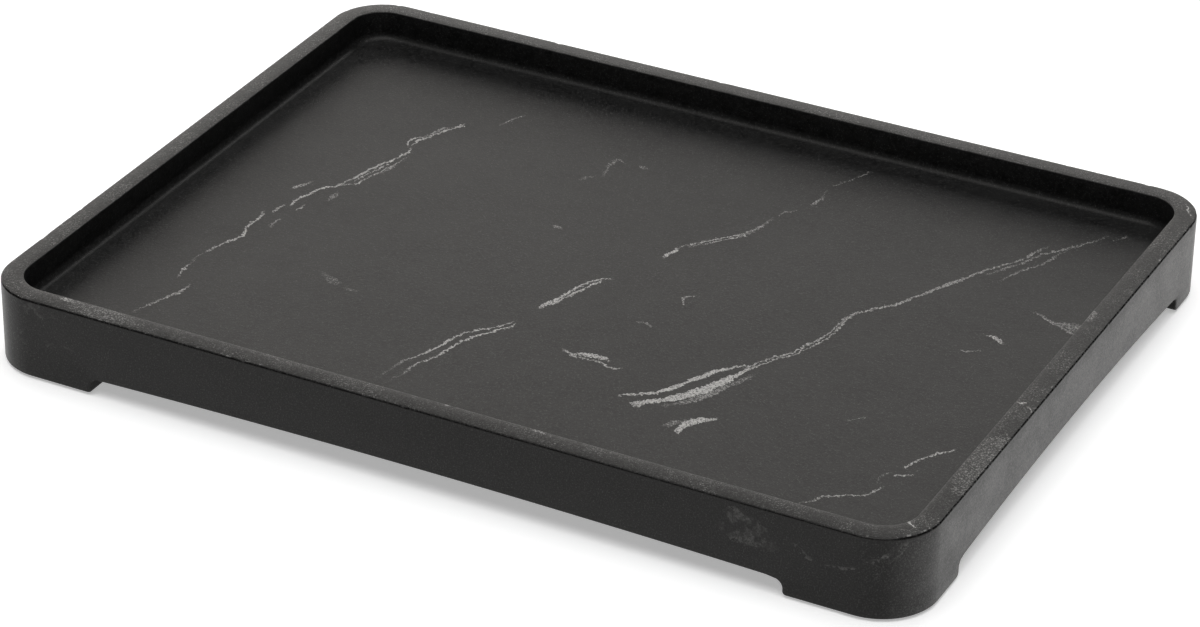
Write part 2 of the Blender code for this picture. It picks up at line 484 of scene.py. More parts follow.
outer_height = rim_height(OUTER_ROUNDING) - OUTER_FACET[-1][1] * MM
inner_height = rim_height(RIM_WIDTH - INNER_ROUNDING) - INNER_ROUNDING
profile = [(0.0, BELOW_RIM), (0.0, outer_height - HOLDING_RING)]
profile += [(across * MM, outer_height + height * MM) for across, height in OUTER_FACET]
for step in range(1, RIM_STEPS + 1):
    share = step / RIM_STEPS
    across = OUTER_ROUNDING + (RIM_WIDTH - OUTER_ROUNDING - INNER_ROUNDING) * share
    profile.append((across, rim_height(across)))
for step in range(1, EDGE_STEPS + 1):
    turn = math.pi / 2 * step / EDGE_STEPS
    across = RIM_WIDTH - INNER_ROUNDING * (1 - math.sin(turn))
    profile.append((across, inner_height + INNER_ROUNDING * math.cos(turn)))
profile.append((RIM_WIDTH, FLOOR + POCKET_FILLET + HOLDING_RING))
for step in range(FILLET_STEPS + 1):
    turn = math.pi / 2 * step / FILLET_STEPS
    across = RIM_WIDTH + POCKET_FILLET * (1 - math.cos(turn))
    profile.append((across, FLOOR + POCKET_FILLET * (1 - math.sin(turn))))
profile.append((RIM_WIDTH + POCKET_FILLET + HOLDING_RING, FLOOR))
print("profile has", len(profile), "steps")


# %% Divide the top's long sides and carry the profile round
def top_face():
    stone.normal_update()
    level = [face for face in stone.faces if face.normal.z > 0.9]
    return max(level, key=lambda face: face.calc_center_median().z)


for _ in range(4):  # once for each straight side
    longest = max(top_face().edges, key=lambda edge: edge.calc_length())
    cuts = int(longest.calc_length() / SIDE_STEP)
    bmesh.ops.subdivide_edges(stone, edges=[longest], cuts=cuts)
serving_floor = top_face()
for (across, height), (next_across, next_height) in zip(profile, profile[1:]):
    bmesh.ops.inset_region(
        stone, faces=[serving_floor], use_even_offset=True,
        thickness=max(next_across - across, NEAR / 1000), depth=next_height - height,
    )
print("floor at", round(serving_floor.calc_center_median().z / MM, 2), "mm,", len(stone.verts))

# %% [markdown]
# ## A worn rim
# A rim that is polished by hand isn't level. It falls outwards a little at the back and the left,
# its crown is flatter on the right and at the back, and its inner edge is worn in waves. A sawn
# edge also loses small crystals. All this could be painted on, but only real dents catch the light
# from every side. So each point of the rim is lowered a little, and each point near the outer edge
# is pushed back into the stone where a noise is high. Nothing is ever pushed outwards.

# %% Lean and wear the rim, and knock small chips out of its outer edge
RIM_LEAN = math.tan(math.radians(2.6))
LEAN_TOWARDS = Vector((-0.5, 0.87, 0))
RIGHT_CROWN_LOSS = 0.6
BACK_SHARE_OF_LOSS = 0.8
WEAR_DEPTH = 0.10 * MM
WEAR_SIZE = 1.1 * MM
WEAR_REACH = 1.2 * MM
CHIP_DEPTH = 0.88 * MM
CHIP_SIZE = 2.6 * MM
CHIP_REACH = 1.6 * MM
CHIP_RARITY = 0.36
GRIT_DEPTH = 0.03 * MM
GRIT_SIZE = 0.5 * MM


def wave(point, size):
    """Noise from 0 to 1 with waves of the given size."""
    return 0.5 + 0.5 * noise.noise(point / size)


def rim_fall(inside, outward):
    """How far the rim lies below its plain profile at this place."""
    lean = max(0.0, outward.dot(LEAN_TOWARDS)) * RIM_LEAN
    crown = TOP - rim_height(min(max(inside, OUTER_ROUNDING), RIM_CREST))
    loss = max(outward.x, BACK_SHARE_OF_LOSS * outward.y, 0.0) * RIGHT_CROWN_LOSS
    return lean * (RIM_WIDTH - inside) - loss * crown


chipped = 0
rim_wall = outer_height - HOLDING_RING - BELOW_RIM
for vert in stone.verts:
    inside, outward = way_in(vert.co)
    if vert.co.z > BELOW_RIM + NEAR and inside < RIM_WIDTH + NEAR:
        share = min(1.0, (vert.co.z - BELOW_RIM) / rim_wall)
        vert.co.z -= share * rim_fall(inside, outward)
    if abs(inside - RIM_WIDTH) < WEAR_REACH and vert.co.z > TOP - WEAR_REACH:
        vert.co.z -= WEAR_DEPTH * wave(vert.co, WEAR_SIZE)
    if inside > CHIP_REACH or vert.co.z < TOP - CHIP_REACH:
        continue
    flake = noise.noise(vert.co / CHIP_SIZE) - CHIP_RARITY
    fade = 1 - max(inside, TOP - vert.co.z) / CHIP_REACH
    depth = fade * (CHIP_DEPTH * max(0.0, flake) + GRIT_DEPTH * wave(vert.co, GRIT_SIZE))
    vert.co -= (outward + Vector((0, 0, 1))).normalized() * depth
    chipped += flake > 0
print(chipped, "points lie in chips")

# %% Make the tray's object
CREASE = math.radians(35)
LARGEST_SMOOTH_FACE = (14 * MM) ** 2
MOST_SMOOTH_CORNERS = 8


def finished_piece(name, shape, node):
    """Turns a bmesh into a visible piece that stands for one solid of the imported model."""
    mesh = mesh_of(name, shape)
    mesh.set_sharp_from_angle(angle=CREASE)
    piece = placed(name, mesh)
    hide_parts(node)
    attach(piece, "root")
    print(name, "has", sum(len(polygon.vertices) - 2 for polygon in mesh.polygons), "triangles")
    return piece


stone.normal_update()
for face in stone.faces:
    small = face.calc_area() < LARGEST_SMOOTH_FACE
    face.smooth = small and len(face.verts) <= MOST_SMOOTH_CORNERS
tray_stone = finished_piece("tray_stone", stone, "tray_body")

# %% [markdown]
# ## Foot pads
# Each pad is a punched disc of rubber with a film of glue on top. A cylinder with a bevel would
# give the disc alone. A few points from its middle to its edge, spun once round, give the disc,
# its broken edges and the glue in one piece, and the open middle is welded shut.

# %% Turn the four pads
GLUE_RADIUS = 9.5 * MM
PAD_EDGE = 0.2 * MM
PAD_CORNER = 0.3 * PAD_EDGE
PAD_STEPS = 72


def turned(section, steps):
    """Spins a line of points once round and welds its middle. A point is (out, height)."""
    shape = bmesh.new()
    points = [shape.verts.new((out, 0, height)) for out, height in section]
    lines = [shape.edges.new(pair) for pair in zip(points, points[1:])]
    bmesh.ops.spin(
        shape, geom=points + lines, cent=(0, 0, 0), axis=(0, 0, 1), angle=2 * math.pi,
        steps=steps, use_merge=True,
    )
    bmesh.ops.remove_doubles(shape, verts=shape.verts, dist=NEAR)
    bmesh.ops.recalc_face_normals(shape, faces=shape.faces)
    return shape


def pad_shape(low, high, glue_top):
    radius = (high.x - low.x) / 2
    section = [
        (0.0, low.z),
        (radius - PAD_EDGE, low.z),
        (radius - PAD_CORNER, low.z + PAD_CORNER),
        (radius, low.z + PAD_EDGE),
        (radius, high.z - PAD_EDGE),
        (radius - PAD_CORNER, high.z - PAD_CORNER),
        (radius - PAD_EDGE, high.z),
        (GLUE_RADIUS, high.z),
        (GLUE_RADIUS, glue_top),
        (0.0, glue_top),
    ]
    shape = turned(section, PAD_STEPS)
    for face in shape.faces:
        face.smooth = True
    middle = (low + high) / 2
    bmesh.ops.translate(shape, vec=(middle.x, middle.y, 0), verts=shape.verts)
    return shape


pads = []
for place in ("front_left", "front_right", "back_left", "back_right"):
    node_name = "foot_pad_" + place
    pad_low, pad_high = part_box(node_name)
    shape = pad_shape(pad_low, pad_high, BASE - NEAR)
    pads.append(finished_piece("rubber_pad_" + place, shape, node_name))

# %% [markdown]
# ## Where the veins run
# The veins are thin sheets of white calcite that cross the black stone. On the floor of the
# pocket they show as lines that mostly run from the front left to the back right. A turned wave
# texture would give veins, but not these ones. So each one is a route of listed points in
# millimetres: the place along the tray's width, the place along its length, half the vein's width
# there, and how solid it is. Short marks that run the other way list the length first.

# %% Veins on the floor that run across the tray
VEINS_ACROSS = {
    "left_top": [
        (90, -98, 0.5, 0.3), (95, -97, 0.5, 0.5), (99, -95.5, 0.6, 0.6), (103, -93.5, 0.4, 0.3),
    ],
    "left_upper": [
        (64, -120, 0.9, 0.7), (68, -118.5, 0.8, 0.8), (73, -116.5, 0.8, 0.8),
        (78, -114, 0.7, 0.8), (81, -112.5, 1.1, 1.0), (83.5, -112, 0.5, 0.7),
    ],
    "left_upper_twin": [
        (66, -120.5, 0.4, 0.5), (72, -119, 0.6, 0.6), (76, -118, 0.7, 0.7), (79, -114.5, 0.4, 0.4),
    ],
    "left_knot_front": [
        (55, -122.5, 0.3, 0.6), (57, -123.8, 0.5, 0.9), (60, -124.4, 0.6, 0.9),
        (63, -124, 0.5, 0.9), (65, -122, 0.5, 0.8),
    ],
    "left_knot_back": [
        (56, -121.8, 0.3, 0.6), (59, -121.4, 0.5, 0.9), (62, -121.6, 0.6, 1.0),
        (65, -120.6, 0.6, 0.9),
    ],
    "left_long": [
        (-14, -139, 0.6, 0.9), (-8, -139.5, 0.6, 0.9), (-4, -138.3, 0.7, 1.0),
        (0, -137, 0.8, 1.0), (4, -135.6, 0.7, 1.0), (7.5, -134.2, 0.7, 1.0),
        (9, -131.5, 0.9, 0.9), (15, -129.2, 0.5, 0.8), (21, -128, 0.6, 0.9),
        (27, -126.6, 0.7, 1.0), (32, -125.5, 0.6, 0.9), (38, -123.6, 0.7, 1.0),
        (43, -121.4, 0.6, 1.0), (49, -120, 0.7, 1.0), (54, -121, 0.4, 0.6),
    ],
    "left_long_twin": [
        (11, -130, 0.5, 0.7), (13.5, -127.5, 0.5, 0.8), (16, -124.4, 0.7, 0.9),
        (20, -124.2, 0.5, 0.8), (25, -122.6, 0.4, 0.7), (30, -121.4, 0.5, 0.8),
        (36, -119.8, 0.4, 0.7), (42, -118.1, 0.4, 0.4), (47, -118, 0.3, 0.3),
    ],
    "left_long_thread": [
        (17, -126.8, 0.3, 0.6), (22, -125.9, 0.4, 0.8), (27, -124.5, 0.3, 0.7),
        (32, -123.4, 0.4, 0.8), (37, -121.9, 0.3, 0.6),
    ],
    "left_long_outer": [
        (28, -120.5, 0.4, 0.3), (34, -119.5, 0.5, 0.5), (39, -118.8, 0.4, 0.3),
    ],
    "left_middle": [(-23, -142.5, 0.4, 0.6), (-19, -143, 0.5, 0.8), (-15.5, -141.5, 0.4, 0.6)],
    "left_lower": [
        (-64, -149, 0.5, 0.5), (-59, -147.5, 0.6, 0.8), (-54, -145.8, 0.5, 0.8),
        (-49, -143.8, 0.6, 0.9), (-45, -142.8, 0.7, 1.0), (-41, -144.6, 0.6, 0.9),
        (-37, -145.4, 0.7, 0.9), (-31, -144.8, 0.5, 0.8), (-26, -145.4, 0.7, 0.8),
        (-24, -146, 0.4, 0.5),
    ],
    "left_foot": [
        (-87, -147.5, 0.4, 0.5), (-83, -148.5, 0.6, 0.8), (-79, -149.3, 0.5, 0.8),
        (-75, -149.2, 0.3, 0.4), (-70, -149.7, 0.3, 0.3), (-66, -149.3, 0.3, 0.4),
    ],
    "left_front": [
        (-119, -148.5, 0.5, 0.3), (-112, -145.6, 0.5, 0.5), (-105, -143.2, 0.6, 0.6),
        (-99, -140.8, 0.7, 0.7), (-94, -140.2, 0.7, 0.7), (-90, -139.8, 0.5, 0.4),
    ],
    "left_side_mark": [
        (-2, -146, 0.4, 0.4), (1, -145.5, 0.9, 0.7), (4, -143.5, 0.8, 0.6), (8, -142, 0.4, 0.4),
    ],
    "left_side_cloud": [(-3, -127.5, 0.8, 0.3), (1, -127.8, 1.4, 0.4), (5, -127.8, 0.6, 0.3)],
    "left_tick": [(-17, -135, 0.6, 0.6), (-14, -134.5, 0.7, 0.8), (-10.5, -134, 0.4, 0.5)],
    "left_tick_low": [(-34, -137, 0.5, 0.3), (-29, -137.3, 0.7, 0.6), (-26, -137, 0.4, 0.3)],
    "front_left_strand": [
        (-118, -39, 0.7, 0.05), (-107, -37, 0.6, 0.25), (-101, -35.8, 0.6, 0.6),
        (-95, -32.8, 0.5, 0.85), (-88, -30.2, 0.6, 0.95), (-81, -28.6, 0.5, 0.9),
        (-76, -27.4, 0.5, 0.9), (-71, -25.8, 0.6, 0.9), (-67, -22.4, 0.7, 1.0),
        (-62, -17.2, 0.6, 0.9), (-57, -14.4, 0.5, 0.8), (-54, -13.2, 0.4, 0.5),
    ],
    "front_right_strand": [
        (-118, -33.5, 0.6, 0.05), (-110, -31.4, 0.5, 0.35), (-101, -30.5, 0.5, 0.8),
        (-96, -28, 0.5, 0.85), (-90, -25.8, 0.5, 0.9), (-84, -25, 0.5, 0.9),
        (-78, -23.4, 0.5, 0.9), (-73, -21.6, 0.6, 0.9), (-68, -18.4, 0.7, 0.95),
        (-63, -15.2, 0.7, 0.95), (-59, -12.4, 0.5, 0.8), (-56, -11.6, 0.3, 0.5),
    ],
    "middle_left_strand": [
        (-39.5, -9, 0.9, 0.8), (-36, -8.5, 1.2, 1.0), (-31, -6.8, 0.7, 1.0),
        (-25, -5.6, 0.7, 1.0), (-19, -4.2, 0.7, 0.9), (-14, -2.4, 0.6, 0.9),
        (-10, -0.8, 0.6, 0.9), (-7.5, 2, 1.0, 0.9), (-6, 4.5, 0.5, 0.8),
    ],
    "middle_right_strand": [
        (-36, -7, 0.6, 0.8), (-30, -5, 0.7, 0.9), (-24, -3, 0.7, 0.9), (-19, -1.2, 0.7, 1.0),
        (-14, 0, 0.6, 0.9), (-10, 1.4, 0.6, 0.8),
    ],
    "back_knot": [
        (19.5, 15.3, 0.4, 0.7), (23, 15, 0.8, 0.9), (26, 16.8, 1.1, 1.0), (29.5, 16.6, 0.8, 0.7),
    ],
    "back_long_left": [
        (31, 17.4, 0.5, 0.6), (33, 18.7, 0.5, 0.7), (37, 21.4, 0.6, 0.8), (41, 24.9, 0.6, 0.85),
        (45, 28, 0.6, 0.8), (49, 31, 0.7, 0.85), (52, 34.3, 0.7, 0.7), (57, 36.6, 0.7, 0.65),
        (62, 38, 0.7, 0.55), (67, 39.2, 0.5, 0.4), (71, 39.6, 0.4, 0.3),
    ],
    "back_long_right": [
        (33, 20.5, 0.4, 0.5), (37, 23.6, 0.5, 0.75), (41, 27, 0.5, 0.8), (45, 30, 0.6, 0.75),
        (49, 33, 0.6, 0.8), (52, 35.9, 0.5, 0.7), (57, 37.6, 0.4, 0.5),
    ],
    "back_hook": [(74, 40.4, 0.4, 0.4), (78, 42, 0.6, 0.4), (82, 45, 0.5, 0.4)],
    "back_cloud": [
        (89, 49, 0.6, 0.4), (93, 49.6, 1.1, 0.6), (97, 50, 0.6, 0.3), (103, 49, 0.4, 0.2),
    ],
    "back_faint": [
        (109, 49.6, 0.4, 0.4), (113, 51.6, 0.5, 0.4), (117, 54, 0.4, 0.4), (122, 56, 0.5, 0.45),
        (127, 58.4, 0.4, 0.45),
    ],
    "far_stroke": [
        (69.5, -38.4, 0.5, 0.25), (75.4, -39.4, 0.8, 0.4), (80, -40.3, 0.9, 0.42),
        (84, -40.5, 1.2, 0.5), (87.2, -40.3, 0.8, 0.45),
    ],
    "far_patch": [(63.1, -45.2, 0.8, 0.2), (65.9, -43.8, 1.5, 0.26), (67.8, -42, 0.8, 0.2)],
}
print(len(VEINS_ACROSS), "veins on the left and in the middle")

# %% The broad vein on the right and what lies round it
VEINS_RIGHT = {
    "broad_upper_edge": [
        (-84.5, 49, 0.5, 0.6), (-83, 51.5, 1.2, 0.9), (-80, 56, 1.4, 1.0), (-76, 60.5, 1.3, 1.0),
        (-71, 63.8, 1.2, 1.0), (-65, 66.5, 1.2, 1.0), (-59, 69.4, 1.4, 1.0),
        (-53, 72.2, 1.3, 1.0), (-48, 75.2, 1.2, 0.95), (-45, 77.8, 0.9, 0.85), (-42, 81, 0.6, 0.8),
    ],
    "broad_body": [
        (-90, 58, 1.4, 0.5), (-87.5, 56.5, 2.8, 0.9), (-85, 60.5, 2.3, 1.0),
        (-81, 64, 2.3, 1.0), (-77, 68, 2.8, 1.0), (-72, 72, 3.0, 1.0), (-66, 75.2, 3.1, 1.0),
        (-60, 77.8, 2.5, 1.0), (-54, 80.2, 1.9, 0.95), (-49, 81.9, 1.3, 0.9),
        (-44, 83.9, 0.8, 0.85), (-40, 85, 0.5, 0.8),
    ],
    "broad_fringe": [
        (-84, 67, 1.4, 0.2), (-78, 73, 1.8, 0.45), (-71, 77.4, 1.7, 0.55), (-64, 80.4, 1.5, 0.5),
        (-57, 83, 1.4, 0.4), (-50, 86, 1.2, 0.3), (-45, 87.5, 0.6, 0.1),
    ],
    "long_neck_left": [
        (-43, 82, 0.5, 0.78), (-38, 84.5, 0.45, 0.83), (-33, 87.1, 0.4, 0.78),
        (-28, 90.2, 0.5, 0.83), (-23, 93.2, 0.5, 0.83), (-17, 95.2, 0.4, 0.78),
        (-12, 97.2, 0.45, 0.78), (-6, 98.9, 0.4, 0.74), (0, 99.5, 0.4, 0.74), (6, 99.6, 0.5, 0.74),
    ],
    "long_neck_right": [
        (-43, 84.2, 0.5, 0.74), (-38, 86.5, 0.5, 0.83), (-33, 89.1, 0.4, 0.74),
        (-28, 92.1, 0.5, 0.78), (-23, 95.1, 0.5, 0.78), (-17, 97.0, 0.4, 0.74),
        (-12, 98.9, 0.4, 0.78), (-6, 100.5, 0.4, 0.74), (0, 101.1, 0.4, 0.74), (6, 101, 0.5, 0.74),
    ],
    "long_lower": [
        (6, 100.2, 0.8, 0.64), (10, 99.8, 1.1, 0.68), (15, 101.6, 0.9, 0.68), (20, 105, 0.9, 0.68),
        (25, 109.4, 1.0, 0.68), (30, 113, 0.9, 0.68), (36, 116, 0.7, 0.64), (41, 118.6, 0.7, 0.64),
        (47, 121, 0.9, 0.64), (53, 123.6, 1.1, 0.64), (59, 127, 1.1, 0.64), (64, 129.4, 0.6, 0.64),
        (69, 131, 0.6, 0.68), (73, 133.6, 0.6, 0.68), (78, 136.8, 0.55, 0.64),
        (83, 139.8, 0.5, 0.6),
    ],
    "fork_left": [
        (80, 138, 0.5, 0.51), (86, 141.6, 0.6, 0.59), (91, 144, 0.7, 0.59), (96, 145, 0.8, 0.51),
        (100, 146.6, 0.7, 0.42), (103, 148, 0.3, 0.26),
    ],
    "fork_middle": [
        (69, 134.6, 0.7, 0.4), (73, 137, 0.6, 0.48), (79, 140.4, 0.5, 0.48),
        (84, 143.4, 0.6, 0.48), (90, 145.8, 0.6, 0.48), (96, 148.4, 0.6, 0.48),
        (100, 151.4, 0.7, 0.56), (104, 154.6, 0.6, 0.56), (109, 158, 0.6, 0.48),
        (113, 160.8, 0.5, 0.4), (117, 163.2, 0.6, 0.4), (122, 165.6, 0.4, 0.32),
    ],
    "fork_right": [
        (67, 142, 0.4, 0.24), (73, 143.6, 0.5, 0.48), (79, 145.6, 0.6, 0.48),
        (84, 149.2, 0.6, 0.48), (89, 151.2, 0.6, 0.48), (94, 153.4, 0.7, 0.48),
        (98, 153.8, 0.5, 0.4), (103, 155.4, 0.5, 0.32), (108, 158.6, 0.4, 0.24),
    ],
    "corner_wisp": [(120, 169.6, 0.4, 0.3), (123, 171.4, 0.6, 0.5), (126, 172.4, 0.4, 0.4)],
    "thumb_mark": [
        (-99, 80.6, 0.8, 0.8), (-95, 80, 1.8, 1.0), (-91, 80.6, 2.1, 1.0), (-88, 82.6, 2.7, 1.0),
        (-85.5, 85, 2.4, 1.0), (-83, 88, 1.3, 0.9),
    ],
    "thumb_shadow": [(-97, 74.6, 1.4, 0.35), (-93, 76.4, 1.8, 0.45), (-89, 79, 1.0, 0.35)],
    "right_tick": [
        (-80.5, 165.6, 0.8, 0.9), (-76, 167, 0.6, 0.8), (-71, 169.4, 0.5, 0.8),
        (-66, 172.2, 0.8, 0.8), (-62, 175.4, 0.7, 0.8), (-60.5, 177, 0.4, 0.5),
    ],
    "right_wisp": [
        (-95, 160.4, 0.3, 0.2), (-90, 160.4, 0.3, 0.3), (-87.5, 161.4, 0.5, 0.5),
        (-86, 162.4, 0.4, 0.4),
    ],
    "right_front": [
        (-122, 141.6, 0.4, 0.3), (-118, 145.6, 0.7, 0.5), (-114, 147.4, 0.7, 0.5),
        (-111, 150.4, 0.8, 0.7), (-108.5, 155.4, 1.0, 0.7), (-106.5, 159.6, 0.8, 0.6),
        (-103, 162.2, 0.6, 0.7), (-99.5, 163.2, 0.7, 0.7), (-97, 163.8, 0.4, 0.4),
    ],
    "chevron_low": [(-10.5, 39.4, 0.4, 0.5), (-8, 38.2, 0.6, 0.65), (-5.5, 37, 0.5, 0.6)],
    "chevron_high": [(-6, 37, 0.5, 0.6), (-4, 38.4, 0.7, 0.6), (-2.5, 40, 0.4, 0.5)],
}
print(len(VEINS_RIGHT), "veins on the right")

# %% Marks that run along the tray
VEINS_ALONG = {
    "leaf_upper": [
        (18, -66, 0.6, 0.6), (21, -64.4, 1.3, 0.8), (25, -63.6, 1.7, 0.85), (29, -63, 1.3, 0.8),
        (32, -62.6, 0.9, 0.75), (33.5, -64, 0.5, 0.5),
    ],
    "leaf_lower": [
        (14, -64.4, 0.4, 0.5), (17, -65.8, 0.7, 0.75), (20, -67, 0.9, 0.7), (26, -66.8, 0.6, 0.65),
        (31, -66.2, 0.6, 0.7), (34.5, -67.6, 0.7, 0.75), (38, -68.8, 0.8, 0.65),
        (40, -66.4, 0.5, 0.6),
    ],
    "wall_patch": [
        (164, 50.4, 0.3, 0.4), (168, 48.2, 0.7, 0.6), (172, 46, 0.8, 0.55),
        (175, 46, 1.6, 0.4), (179, 46.6, 2.8, 0.35), (184, 46, 3.8, 0.4),
    ],
    "wall_patch_edge": [(173, 45.6, 0.4, 0.6), (178, 43.4, 0.6, 0.5), (184, 41.6, 0.5, 0.5)],
    "right_blob": [
        (154.4, 24.8, 0.6, 0.7), (157, 24.4, 1.4, 0.9), (160, 22.9, 1.3, 0.8),
        (162.4, 21.2, 0.5, 0.5),
    ],
    "right_scratch": [(150, 9, 0.4, 0.45), (153, 9.6, 0.4, 0.5), (156, 12, 0.4, 0.4)],
    "right_dash": [(165, -87.2, 0.5, 0.7), (167.5, -86.2, 0.6, 0.8), (170, -84.2, 0.5, 0.6)],
    "small_arc": [(30, -32, 0.5, 0.4), (33, -30.6, 0.8, 0.55), (36, -32.6, 0.5, 0.45)],
    "small_cloud": [(-29, 85.4, 0.5, 0.4), (-27.5, 85.2, 1.1, 0.5), (-25, 85, 0.5, 0.3)],
    "small_dot": [(-37, 22.4, 0.5, 0.3), (-34.4, 22, 1.1, 0.5), (-31.6, 21, 0.5, 0.35)],
    "far_hook": [(-39.6, 87, 0.5, 0.45), (-37.6, 85.6, 0.6, 0.45), (-35.3, 84.8, 0.4, 0.35)],
    "left_scuff": [
        (-100.9, -55.9, 0.8, 0.05), (-96.8, -58, 2.0, 0.15), (-92, -60, 2.6, 0.28),
        (-88.4, -61.3, 1.5, 0.15),
    ],
    "left_scuff_end": [(-85, -62.9, 0.8, 0.15), (-82, -63.3, 1.6, 0.24), (-79, -63.4, 0.8, 0.15)],
    "far_dash": [(133, -60, 0.4, 0.3), (136, -56.6, 0.6, 0.4), (138, -55, 0.4, 0.3)],
}
print(len(VEINS_ALONG), "short marks")

# %% Marks on the rim
# These patches lie on the rim alone, so they are listed where they show there.
RIM_MARKS = [
    [
        (-166, -141.7, 0.8, 0.4), (-163.9, -141.5, 2.0, 0.65), (-160.4, -141.5, 2.0, 0.5),
        (-158, -142, 1.6, 0.4), (-156, -142.5, 0.8, 0.3),
    ],
    [
        (-160, -145, 2.0, 0.2), (-150, -145, 5.0, 0.32), (-138, -145.5, 5.0, 0.28),
        (-125, -145.5, 2.0, 0.15),
    ],
    [(3, -141, 0.4, 0.5), (5, -141, 0.8, 0.7), (7, -141.2, 0.4, 0.4)],
    [(42, -141.5, 0.5, 0.4), (44, -141.2, 1.0, 0.6), (47, -142, 0.6, 0.4)],
    [(188, -132.2, 0.4, 0.6), (190.6, -133.9, 0.6, 0.95), (193.6, -135.8, 0.4, 0.8)],
    [(191, 141, 0.5, 0.6), (193.7, 136.5, 0.8, 0.9), (196.5, 132.4, 0.6, 0.7)],
    [(190.5, -82, 14.0, 0.24), (195, -84, 24.0, 0.30), (200, -86, 24.0, 0.30)],
    [(191.6, -37.6, 0.4, 0.6), (193.6, -37.8, 0.6, 0.9), (195.4, -37.8, 0.4, 0.7)],
    [(196.4, -39, 0.4, 0.6), (198, -40, 0.6, 0.9), (199.4, -41.2, 0.4, 0.6)],
]
print(len(RIM_MARKS), "marks on the rim")

# %% Marks on the walls
# Here the second number is the height, and the first one runs along the wall.
WALL_MARKS = {
    "front": [
        [
            (121, 25, 2.0, 0.15), (126, 26, 7.0, 0.5), (131, 26, 8.0, 0.6), (136, 24.5, 7.5, 0.6),
            (142, 22.5, 5.0, 0.45), (147, 22, 2.0, 0.15),
        ],
        [
            (152.6, 24.4, 0.4, 0.5), (155, 22.5, 0.5, 0.6), (158, 20.8, 0.6, 0.6),
            (162, 19.6, 0.5, 0.6), (166, 19.5, 0.5, 0.6), (170, 20.3, 0.6, 0.6),
            (175, 21.0, 0.7, 0.6), (179, 23.5, 0.6, 0.6), (184, 26, 0.6, 0.65),
            (188, 29, 0.9, 0.8), (191, 31, 0.8, 0.9), (194, 34, 0.6, 0.8),
        ],
        [(184, 18, 0.4, 0.4), (187, 24, 0.5, 0.5), (191, 28.6, 0.7, 0.7), (195, 33, 0.5, 0.6)],
        [
            (-180, 31, 1.0, 0.2), (-176, 32, 3.0, 0.4), (-170, 32, 3.5, 0.42),
            (-165, 31.5, 1.2, 0.2),
        ],
        [(-170, 18, 0.6, 0.3), (-164, 18.6, 1.4, 0.35), (-156, 19, 0.6, 0.3)],
    ],
    "back": [
        [(-120, 8, 0.5, 0.4), (-112, 14, 0.6, 0.6), (-106, 22, 0.6, 0.6), (-98, 34, 0.5, 0.6)],
        [(20, 12, 0.4, 0.4), (29, 18, 0.7, 0.6), (37, 21, 0.5, 0.5), (46, 30, 0.6, 0.6)],
        [(120, 33, 0.4, 0.5), (131, 24, 0.6, 0.6), (142, 20, 0.7, 0.6), (158, 9, 0.4, 0.4)],
    ],
    "left": [
        [(-84, 34, 0.5, 0.6), (-76, 26, 0.6, 0.6), (-70, 20, 0.5, 0.5), (-60, 10, 0.4, 0.4)],
        [(34, 12, 0.4, 0.4), (45, 20, 0.6, 0.6), (56, 24, 0.6, 0.6), (66, 33, 0.5, 0.6)],
    ],
    "right": [
        [(-118, 33, 0.3, 0.4), (-112, 27, 0.5, 0.5), (-108, 24, 0.4, 0.3)],
        [(44, 31, 0.4, 0.3), (50, 28, 0.9, 0.4), (58, 26, 0.5, 0.3)],
    ],
}
print(sum(map(len, WALL_MARKS.values())), "marks on the walls")

# %% [markdown]
# ## From routes to nodes
# A painted picture could hold the veins, but it would stretch over the edges. A route in the
# stone's own space runs on through the block. Marks that follow each other along the tray share
# one curves node, because a curve can drop to nothing between them. Its red channel holds the
# route, its green the width and its blue the strength. A point of the stone is vein where it lies
# nearer the route than that width.

# %% Group the marks and turn each group into one node
MARK_FADE = 1.0
VEIN_EDGE = 0.20


def chains(veins):
    """Strings marks that don't overlap into as few long routes as possible."""
    groups = []
    for route in sorted(veins, key=lambda route: route[0][0]):
        first, last = route[0], route[-1]
        start = (first[0] - MARK_FADE, first[1], first[2], 0.0)
        end = (last[0] + MARK_FADE, last[1], last[2], 0.0)
        for group in groups:
            if group[-1][0] < start[0]:
                break
        else:
            group = []
            groups.append(group)
        group.extend([start, *route, end])
    return groups


def largest(wires):
    """The largest of several wires at each point."""
    return reduce(Wire.larger, wires)


def cover(finish, veins, along, across, swell):
    """How far each point is covered by the veins: 0 is bare stone and 1 is solid white."""
    solids = []
    for group in chains(veins):
        low, high = group[0][0], group[-1][0]
        near = min(point[1] for point in group)
        span = max(point[1] for point in group) - near + MARK_FADE
        widest = max(point[2] for point in group)
        scaled = [
            ((place - low) / (high - low), (side - near) / span, half / widest, strength)
            for place, side, half, strength in group
        ]
        curves = [[(point[0], point[channel]) for point in scaled] for channel in (1, 2, 3)]
        share = (along - low) / (high - low)
        colour = finish.make("ShaderNodeRGBCurve", {"curves": curves}, {"Color": share})
        route, half, strength = finish.split(colour)
        inside = half * widest * swell - abs(across - (route * span + near))
        solids.append(inside.ramp(-VEIN_EDGE, VEIN_EDGE, high=strength))
    return largest(solids)


floor_veins = [*VEINS_ACROSS.values(), *VEINS_RIGHT.values()]
print(len(floor_veins), "marks need", len(chains(floor_veins)), "nodes across the tray and")
print(len(VEINS_ALONG), "marks need", len(chains(VEINS_ALONG.values())), "along it")
